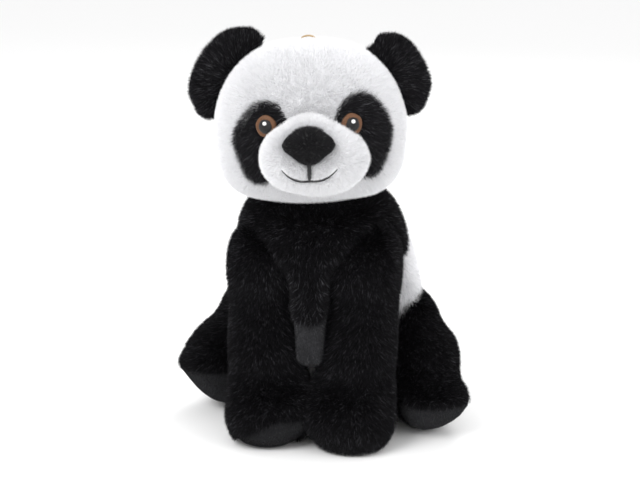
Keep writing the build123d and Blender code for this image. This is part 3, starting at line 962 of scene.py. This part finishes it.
# Back edge of the belly, whose charcoal below the yoke is painted shade between the front legs.
BELLY_BACK = -8.0


def above_hem(spots):
    """Height over the slanting seam between the black yoke and the rest, in millimetres."""
    y, z = spots[:, 1] / MM, spots[:, 2] / MM
    return -(y - YOKE_FRONT[0]) * math.sin(YOKE_SLOPE) + (z - YOKE_FRONT[1]) * math.cos(YOKE_SLOPE)


def torso_seams(places):
    hem = np.exp(-(above_hem(places) / SEAM_WIDTH) ** 2)
    spine = np.exp(-(places[:, 0] / MM / SEAM_WIDTH) ** 2) * (places[:, 1] > 0) * (above_hem(places) < 0)
    return -SEAM_DEPTH * 2 * MM * np.maximum(hem, spine)


NECK_FILLING = [((x * MM, y * MM, z * MM), (radius, radius, 15))
                for x, y, z, radius in ((-23, -22, 124, 21), (11, -24, 123, 19), (-20, 4, 124, 20), (9, 4, 123, 19),
                                        (-3, -30, 118, 22))]


def slim_right_flank(places):
    """The body is sewn on a little to the toy's left, so its right flank is slimmer."""
    moved = places.copy()
    flank = np.clip((-places[:, 0] / MM - 30) / 30, 0, 1) * np.exp(-((places[:, 2] / MM - 82) / 32) ** 2)
    moved[:, 0] += 5.5 * MM * flank
    return moved


class PANDA_OT_torso(bpy.types.Operator):
    """Body cover: black yoke, belly in charcoal as painted shade between the front legs, white rump, seat and tail"""
    bl_idname = "panda.torso"
    bl_label = "Torso"

    def execute(self, context):
        cloth, pile = cloths(), context.scene.panda_pile
        nodes = ["chest_yoke", "belly_panel", "seat_panel", "rump_cover_left", "rump_cover_right", "torso_stuffing"]
        skin = sew_skin("torso_cover", nodes, cloth["white_skin"], 0.9, voxel=4.5, rounds=4, pressure=3.0, reach=1.8,
                        lumps=NECK_FILLING, sculpt=slim_right_flank)
        push_along_normals(skin, torso_seams)
        flatten_on_floor(skin)
        skin.data.materials.append(cloth["black_skin"])
        skin.data.materials.append(cloth["charcoal_skin"])
        # Painted shade: the belly below the hem and in front of BELLY_BACK is given charcoal cloth.
        face_kinds(skin, lambda spots: np.where(above_hem(spots) > 0, 1, 2 * (spots[:, 1] < BELLY_BACK * MM)))
        down = (0, 0.15, -1)
        rump = lambda spots: (above_hem(spots) <= 0) & (spots[:, 1] >= BELLY_BACK * MM) & (spots[:, 2] > 3 * MM)
        yoke = pile_on("yoke_pile", skin, 380000, cloth["black"], pile.body_pile, 0.42 * MM, down, 0.7, SEED + 20,
                       keep=lambda spots, out: above_hem(spots) > 0, painted_highlight_share=0.045, ragged=0.5, spread=0.5)
        wear(yoke, "torso", "black_plush", "chest_yoke")
        for word, side in SIDES.items():
            half = pile_on(f"rump_{word}_pile", skin, 270000, cloth["white"], pile.body_pile, 0.42 * MM, down, 0.7,
                           SEED + 21 + side, keep=lambda spots, out: rump(spots) & (spots[:, 0] * side > 0),
                           ragged=0.35)
            wear(off_floor(half), "torso", "white_plush", f"rump_cover_{word}")
        # Belly pile in charcoal: painted shade between the front legs.
        belly = pile_on("belly_pile", skin, 240000, cloth["charcoal"], pile.sole_pile * 1.4, 0.3 * MM, down, 0.8,
                        SEED + 24, keep=lambda spots, out: (above_hem(spots) <= 0) & (spots[:, 1] < BELLY_BACK * MM)
                        & (spots[:, 2] > 2 * MM), painted_highlight_share=0.02)
        wear(off_floor(belly), "torso", "charcoal_plush", "belly_panel")
        seat = pile_on("seat_pile", skin, 120000, cloth["white"], pile.sole_pile, 0.4 * MM, (0, 1, 0), 1.2, SEED + 25,
                       keep=lambda spots, out: (spots[:, 2] <= 3 * MM) & (spots[:, 1] >= BELLY_BACK * MM))
        wear(off_floor(seat), "torso", "white_plush", "seat_panel")
        wear(skin, "torso", "white_plush", "torso_stuffing", "pellet_pouch", "seat_pellets")
        tail = sew_skin("tail_cover", ["tail"], cloth["white_skin"], 2.2, voxel=2.6, rounds=4, pressure=1.0, reach=0.5)
        strands = pile_on("tail_pile", tail, 24000, cloth["white"], pile.body_pile * 1.1, 0.4 * MM, (0, 0.6, -1), 0.8,
                          SEED + 26, ragged=0.4)
        wear(off_floor(strands), "torso", "white_plush")
        wear(tail, "torso", "white_plush", "tail")
        return {"FINISHED"}


# ---- legs ----
class PANDA_OT_front_legs(bpy.types.Operator):
    """Front legs that hang from the chest, with smooth charcoal paw pads"""
    bl_idname = "panda.front_legs"
    bl_label = "Front legs"

    def execute(self, context):
        cloth, pile = cloths(), context.scene.panda_pile
        for word, side in SIDES.items():
            body = f"front_leg_{word}"
            shoulder = joint_place(f"{body}_swing")

            def ankle(places):
                pinch = np.exp(-((places[:, 2] / MM - 44) / 7) ** 2)
                axis = np.array([shoulder.x, places[:, 1].mean(), 0])
                moved = places.copy()
                front = np.clip((-places[:, 1] / MM - 38) / 20, 0, 1)
                moved[:, 1] += 3.2 * MM * pinch * front
                moved[:, 0] += (axis[0] - places[:, 0]) * 0.07 * pinch
                inner = np.clip((22 - places[:, 0] * side / MM) / 12, 0, 1)
                lower = np.clip((74 - places[:, 2] / MM) / 36, 0, 1) * np.clip(places[:, 2] / MM / 26, 0, 1)
                moved[:, 0] -= side * 8.5 * MM * inner * lower * lower * (3 - 2 * lower)
                return moved

            skin = sew_skin(f"{body}_skin", [f"{body}_cover", f"{body}_stuffing", f"front_paw_{word}_pad"],
                            cloth["black_skin"], 0.7, voxel=4.0, rounds=4, pressure=3.0, reach=1.4, sculpt=ankle)
            flatten_on_floor(skin)
            pad_node = f"front_paw_{word}_pad"

            def on_pad(spots):
                """A crescent that rises towards the middle on the right paw, a plain sole on the left one."""
                rise = 17 * np.clip((spots[:, 0] / MM + 50) / 34, 0, 1) * (side < 0)
                front = np.clip((-spots[:, 1] / MM - 48) / 12, 0, 1)
                return spots[:, 2] / MM < 4 + rise * front

            skin.data.materials.append(cloth["charcoal_skin"])
            face_kinds(skin, on_pad)
            down = (0, -0.25, -1)
            strands = pile_on(f"{body}_pile", skin, 215000, cloth["black"], pile.body_pile, 0.42 * MM, down, 0.7,
                              SEED + 30 + side, keep=lambda spots, out: ~on_pad(spots),
                              painted_highlight_share=0.045, ragged=0.5, spread=0.5)
            pad_pile = pile_on(f"{pad_node}_pile", skin, 240000, cloth["charcoal"], pile.sole_pile, 0.3 * MM,
                               (0, -1, -0.4), 0.8, SEED + 33 + side, keep=lambda spots, out: on_pad(spots),
                               painted_highlight_share=0.02)
            low = shoulder + Vector((0, 0, 0.022))
            high = shoulder - Vector((0, 0, 0.022))
            bend(off_floor(strands), ("torso", body), low, high, "black_plush", f"{body}_cover")
            bend(skin, ("torso", body), low, high, "black_plush", f"{body}_stuffing")
            wear(off_floor(pad_pile), body, "charcoal_plush", pad_node)
        return {"FINISHED"}


THIGH_FILLING = {
    "left": [((57 * MM, 5 * MM, 58 * MM), (15, 18, 25)), ((62 * MM, 2 * MM, 42 * MM), (22, 24, 22))],
    "right": [((-51 * MM, 14 * MM, 53 * MM), (16, 22, 20)), ((-66 * MM, 8 * MM, 40 * MM), (20, 24, 18))],
}
FOOT_CREASE = {"left": 24.0, "right": 31.0}


class PANDA_OT_hind_legs(bpy.types.Operator):
    """Hind legs that lie out to the sides, with smooth charcoal soles"""
    bl_idname = "panda.hind_legs"
    bl_label = "Hind legs"

    def execute(self, context):
        cloth, pile = cloths(), context.scene.panda_pile
        for word, side in SIDES.items():
            body = f"hind_leg_{word}"
            hip = joint_place(f"{body}_spread")
            sole_node = f"hind_foot_{word}_sole"
            foot = middle(sole_node)
            toward = Vector((foot.x - hip.x, foot.y - hip.y, 0)).normalized()
            crease = FOOT_CREASE[word] * MM

            def past_ankle(places):
                return (places - np.array(foot)) @ np.array(toward) / MM

            def wedge(places):
                """The foot narrows to a point where its top and sole are sewn together."""
                share = np.clip((past_ankle(places) + 16) / 22, 0, 1) ** 1.5
                moved = places.copy()
                moved[:, 2] += (crease - places[:, 2]) * 0.62 * share
                moved += np.array(toward) * (2.5 * share * MM)[:, None]
                return moved

            def on_sole(spots):
                return (spots[:, 2] < crease) & (past_ankle(spots) > -20)

            skin = sew_skin(f"{body}_skin", [f"{body}_cover", f"{body}_stuffing", sole_node], cloth["black_skin"], 0.7,
                            voxel=4.0, rounds=5, pressure=3.0, reach=1.4, lumps=THIGH_FILLING[word], sculpt=wedge)
            groove = lambda places: -1.3 * MM * np.exp(-((places[:, 2] - crease) / MM / 1.6) ** 2) \
                * (past_ankle(places) > -22)
            push_along_normals(skin, groove)
            flatten_on_floor(skin)
            skin.data.materials.append(cloth["charcoal_skin"])
            face_kinds(skin, on_sole)
            lay = (toward.x, toward.y, -0.8)
            strands = pile_on(f"{body}_pile", skin, 205000, cloth["black"], pile.body_pile, 0.42 * MM, lay, 0.75,
                              SEED + 40 + side, keep=lambda spots, out: ~on_sole(spots), painted_highlight_share=0.045,
                              ragged=0.5, spread=0.5)
            sole_pile = pile_on(f"{sole_node}_pile", skin, 260000, cloth["charcoal"], pile.sole_pile, 0.3 * MM,
                                (0, -0.3, -1), 0.8, SEED + 43 + side, keep=lambda spots, out: on_sole(spots),
                                painted_highlight_share=0.02)
            low = hip + toward * 2 * MM
            high = hip + toward * 30 * MM
            bend(off_floor(strands), ("torso", body), low, high, "black_plush", f"{body}_cover")
            bend(skin, ("torso", body), low, high, "black_plush", f"{body}_stuffing")
            bend(off_floor(sole_pile), ("torso", body), low, high, "charcoal_plush", sole_node)
        return {"FINISHED"}


# ---- trimmings ----
def ribbon(name, path, width_way, width, thickness, material):
    """Flat tape along a path of places."""
    bm = bmesh.new()
    rows = []
    for number, spot in enumerate(path):
        ahead = (path[min(number + 1, len(path) - 1)] - path[max(number - 1, 0)]).normalized()
        side = (width_way - ahead * width_way.dot(ahead)).normalized()
        up = ahead.cross(side).normalized()
        rows.append([bm.verts.new(spot + side * a * width / 2 + up * b * thickness / 2)
                     for a, b in ((-1, -1), (1, -1), (1, 1), (-1, 1))])
    for row, following in zip(rows, rows[1:]):
        for corner in range(4):
            after = (corner + 1) % 4
            bm.faces.new((row[corner], row[after], following[after], following[corner]))
    bm.faces.new(rows[0][::-1])
    bm.faces.new(rows[-1])
    return finish_mesh(name, bm, [material], smooth=False)


def tape_cloth(name, colour):
    """Fine-woven tape."""
    return backing_cloth(name, tinted(colour, 0.6), colour, scale=2200, bump=0.5, roughness=0.8)


LOOP_WIDTH = 4.0


class PANDA_OT_trim(bpy.types.Operator):
    """Loop of tape at the crown and the blank sewn-in label"""
    bl_idname = "panda.trim"
    bl_label = "Loop and label"

    def execute(self, context):
        tape = tape_cloth("loop_tape", tuple(context.scene.panda_colours.tape))
        low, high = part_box("hang_loop")
        centre = (low + high) / 2
        across = (HEAD_PLACE.to_3x3() @ Vector((1, 0, 0))).normalized()
        ahead = (HEAD_PLACE.to_3x3() @ Vector((0, 1, 0))).normalized()
        up = Vector((0, 0, 1))
        path = []
        for step in range(25):
            angle = math.pi * (step / 24)
            path.append(Vector((centre.x, centre.y, low.z)) + across * math.cos(angle) * 4.6 * MM
                        + up * (0.4 * MM + math.sin(angle) * (high.z - low.z) * 0.4))
        loop = ribbon("hang_loop_tape", path, ahead, LOOP_WIDTH * MM, 0.7 * MM, tape)
        wear(loop, "head", "tape", "hang_loop")
        low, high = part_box("sewn_in_label")
        centre = (low + high) / 2
        paper = tape_cloth("label_satin", (0.82, 0.82, 0.8))
        path = [Vector((centre.x, low.y + (high.y - low.y) * share / 12,
                        centre.z + 0.4 * MM * math.sin(share / 12 * math.pi * 1.5))) for share in range(13)]
        tall = Vector((0, 0, 1)) if high.z - low.z > high.x - low.x else Vector((1, 0, 0))
        label = ribbon("label_tape", path, tall, max(high.z - low.z, high.x - low.x) * 0.96, 0.5 * MM, paper)
        wear(label, "torso", "label", "sewn_in_label")
        return {"FINISHED"}


# ---- stage ----
def soft_light(name, place, aim, size, power):
    lamp = bpy.data.lights.new(name, "AREA")
    lamp.shape = "DISK"
    lamp.size = size
    lamp.energy = power
    holder = bpy.data.objects.new(name, lamp)
    holder.location = place
    holder.rotation_euler = (Vector(aim) - Vector(place)).to_track_quat("-Z", "Y").to_euler()
    bpy.context.scene.collection.objects.link(holder)
    return holder


class PANDA_OT_stage(bpy.types.Operator):
    """Pale floor, soft lights and the camera"""
    bl_idname = "panda.stage"
    bl_label = "Stage"

    def execute(self, context):
        scene = context.scene
        bm = bmesh.new()
        bmesh.ops.create_circle(bm, cap_ends=True, segments=64, radius=6.0)
        floor = finish_mesh("floor", bm, [], smooth=False)
        paper = bpy.data.materials.new("floor_paper")
        paper.use_nodes = True
        shader = shader_of(paper)
        shader.inputs["Base Color"].default_value = (0.93, 0.93, 0.93, 1)
        shader.inputs["Roughness"].default_value = 0.9
        floor.data.materials.append(paper)
        world = bpy.data.worlds.new("studio")
        world.use_nodes = True
        world.node_tree.nodes["Background"].inputs["Color"].default_value = (1, 1, 1, 1)
        world.node_tree.nodes["Background"].inputs["Strength"].default_value = 1.0
        scene.world = world
        soft_light("key_light", (-0.55, -0.9, 1.05), (0, 0, 0.12), 0.7, 11)
        soft_light("fill_light", (0.9, -0.6, 0.6), (0, 0, 0.1), 0.8, 4)
        soft_light("back_light", (0.2, 0.9, 1.0), (0, 0, 0.12), 0.6, 5)
        scene.view_settings.view_transform = "Standard"
        lens = bpy.data.cameras.new("camera")
        lens.lens = 88.3
        lens.sensor_width = 36
        camera = bpy.data.objects.new("camera", lens)
        aim = Vector((-0.0005, -0.0020, 0.1134))
        camera.location = Vector((0.1357, -0.9137, 0.3432))
        camera.rotation_euler = (aim - camera.location).to_track_quat("-Z", "Y").to_euler()
        scene.collection.objects.link(camera)
        scene.camera = camera
        return {"FINISHED"}


class PANDA_PT_panel(bpy.types.Panel):
    bl_label = "Plush Panda"
    bl_idname = "PANDA_PT_panel"
    bl_space_type = "VIEW_3D"
    bl_region_type = "UI"
    bl_category = "Plush Panda"

    def draw(self, context):
        layout = self.layout
        for settings in (context.scene.panda_pile, context.scene.panda_colours):
            for name in settings.__annotations__:
                layout.prop(settings, name)
        for operator in PIECES:
            layout.operator(operator.bl_idname)


PIECES = (PANDA_OT_head, PANDA_OT_muzzle, PANDA_OT_nose, PANDA_OT_eyes, PANDA_OT_ears, PANDA_OT_torso,
          PANDA_OT_front_legs, PANDA_OT_hind_legs, PANDA_OT_trim, PANDA_OT_stage)
CLASSES = (PileSettings, ColourSettings, *PIECES, PANDA_PT_panel)


def register():
    for part in CLASSES:
        bpy.utils.register_class(part)
    bpy.types.Scene.panda_pile = PointerProperty(type=PileSettings)
    bpy.types.Scene.panda_colours = PointerProperty(type=ColourSettings)


def unregister():
    del bpy.types.Scene.panda_colours
    del bpy.types.Scene.panda_pile
    for part in reversed(CLASSES):
        bpy.utils.unregister_class(part)


def main():
    register()
    for operator in PIECES:
        family, name = operator.bl_idname.split(".")
        getattr(getattr(bpy.ops, family), name)()


if __name__ == "__main__":
    main()
